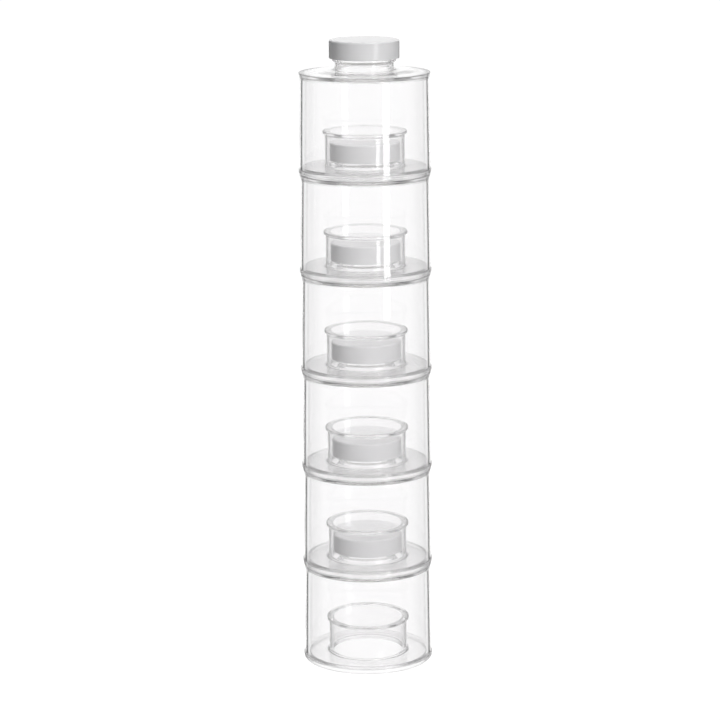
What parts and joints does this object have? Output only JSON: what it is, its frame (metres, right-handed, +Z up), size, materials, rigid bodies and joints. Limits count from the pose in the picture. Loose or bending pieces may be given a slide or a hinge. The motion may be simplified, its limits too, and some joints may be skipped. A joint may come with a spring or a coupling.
{
  "type": "formula dispenser",
  "caption": "Tower of stacking clear round jars with white screw caps; each cap nests in a well in the base of the jar above. Holds measured portions of milk powder.",
  "frame": {"origin": "centre of the bottom jar's foot ring, in the plane it stands on", "axes": "+Z up along the tower's axis; X and Y are alike, because every jar is round"},
  "size_m": [0.0676, 0.0676, 0.3246],
  "materials": {
    "clear_shell": "clear, polished",
    "clear_base": "clear, polished",
    "cap": "satin, moulded",
    "cap_liner": "foamed, matt"
  },
  "bodies": {
    "jar_1": {"jar_1_body": "clear_shell", "jar_1_base": "clear_base"},
    "jar_1_liner_carrier": {"jar_1_cap_liner": "cap_liner"},
    "jar_1_screw_cap": {"jar_1_cap": "cap"},
    "jar_2": {"jar_2_body": "clear_shell", "jar_2_base": "clear_base"},
    "jar_2_liner_carrier": {"jar_2_cap_liner": "cap_liner"},
    "jar_2_screw_cap": {"jar_2_cap": "cap"},
    "jar_3": {"jar_3_body": "clear_shell", "jar_3_base": "clear_base"},
    "jar_3_liner_carrier": {"jar_3_cap_liner": "cap_liner"},
    "jar_3_screw_cap": {"jar_3_cap": "cap"},
    "jar_4": {"jar_4_body": "clear_shell", "jar_4_base": "clear_base"},
    "jar_4_liner_carrier": {"jar_4_cap_liner": "cap_liner"},
    "jar_4_screw_cap": {"jar_4_cap": "cap"},
    "jar_5": {"jar_5_body": "clear_shell", "jar_5_base": "clear_base"},
    "jar_5_liner_carrier": {"jar_5_cap_liner": "cap_liner"},
    "jar_5_screw_cap": {"jar_5_cap": "cap"},
    "jar_6": {"jar_6_body": "clear_shell", "jar_6_base": "clear_base"},
    "jar_6_liner_carrier": {"jar_6_cap_liner": "cap_liner"},
    "jar_6_screw_cap": {"jar_6_cap": "cap"}
  },
  "joints": [
    {"name": "jar_1_cap_rise", "type": "slide", "parent": "jar_1", "child": "jar_1_liner_carrier", "axis": [0, 0, 1], "range_m": [0, 0.00318]},
    {"name": "jar_1_cap_turn", "type": "hinge", "parent": "jar_1_liner_carrier", "child": "jar_1_screw_cap", "pos_m": [0, 0, 0.063], "axis": [0, 0, 1], "range_deg": [0, 360]},
    {"name": "jar_2_cap_rise", "type": "slide", "parent": "jar_2", "child": "jar_2_liner_carrier", "axis": [0, 0, 1], "range_m": [0, 0.00318]},
    {"name": "jar_2_cap_turn", "type": "hinge", "parent": "jar_2_liner_carrier", "child": "jar_2_screw_cap", "pos_m": [0, 0, 0.1144], "axis": [0, 0, 1], "range_deg": [0, 360]},
    {"name": "jar_2_lift", "type": "slide", "parent": "jar_1", "child": "jar_2", "axis": [0, 0, 1], "range_m": [0, 0.03]},
    {"name": "jar_3_cap_rise", "type": "slide", "parent": "jar_3", "child": "jar_3_liner_carrier", "axis": [0, 0, 1], "range_m": [0, 0.00318]},
    {"name": "jar_3_cap_turn", "type": "hinge", "parent": "jar_3_liner_carrier", "child": "jar_3_screw_cap", "pos_m": [0, 0, 0.1658], "axis": [0, 0, 1], "range_deg": [0, 360]},
    {"name": "jar_3_lift", "type": "slide", "parent": "jar_2", "child": "jar_3", "axis": [0, 0, 1], "range_m": [0, 0.03]},
    {"name": "jar_4_cap_rise", "type": "slide", "parent": "jar_4", "child": "jar_4_liner_carrier", "axis": [0, 0, 1], "range_m": [0, 0.00318]},
    {"name": "jar_4_cap_turn", "type": "hinge", "parent": "jar_4_liner_carrier", "child": "jar_4_screw_cap", "pos_m": [0, 0, 0.2172], "axis": [0, 0, 1], "range_deg": [0, 360]},
    {"name": "jar_4_lift", "type": "slide", "parent": "jar_3", "child": "jar_4", "axis": [0, 0, 1], "range_m": [0, 0.03]},
    {"name": "jar_5_cap_rise", "type": "slide", "parent": "jar_5", "child": "jar_5_liner_carrier", "axis": [0, 0, 1], "range_m": [0, 0.00318]},
    {"name": "jar_5_cap_turn", "type": "hinge", "parent": "jar_5_liner_carrier", "child": "jar_5_screw_cap", "pos_m": [0, 0, 0.2686], "axis": [0, 0, 1], "range_deg": [0, 360]},
    {"name": "jar_5_lift", "type": "slide", "parent": "jar_4", "child": "jar_5", "axis": [0, 0, 1], "range_m": [0, 0.03]},
    {"name": "jar_6_cap_rise", "type": "slide", "parent": "jar_6", "child": "jar_6_liner_carrier", "axis": [0, 0, 1], "range_m": [0, 0.01271]},
    {"name": "jar_6_cap_turn", "type": "hinge", "parent": "jar_6_liner_carrier", "child": "jar_6_screw_cap", "pos_m": [0, 0, 0.32], "axis": [0, 0, 1], "range_deg": [0, 1440]},
    {"name": "jar_6_lift", "type": "slide", "parent": "jar_5", "child": "jar_6", "axis": [0, 0, 1], "range_m": [0, 0.03]}
  ],
  "couplings": [
    {"joint": "jar_1_cap_rise", "follows": "jar_1_cap_turn", "m_per_rad": 0.00050532},
    {"joint": "jar_2_cap_rise", "follows": "jar_2_cap_turn", "m_per_rad": 0.00050532},
    {"joint": "jar_3_cap_rise", "follows": "jar_3_cap_turn", "m_per_rad": 0.00050532},
    {"joint": "jar_4_cap_rise", "follows": "jar_4_cap_turn", "m_per_rad": 0.00050532},
    {"joint": "jar_5_cap_rise", "follows": "jar_5_cap_turn", "m_per_rad": 0.00050532},
    {"joint": "jar_6_cap_rise", "follows": "jar_6_cap_turn", "m_per_rad": 0.00050532}
  ]
}
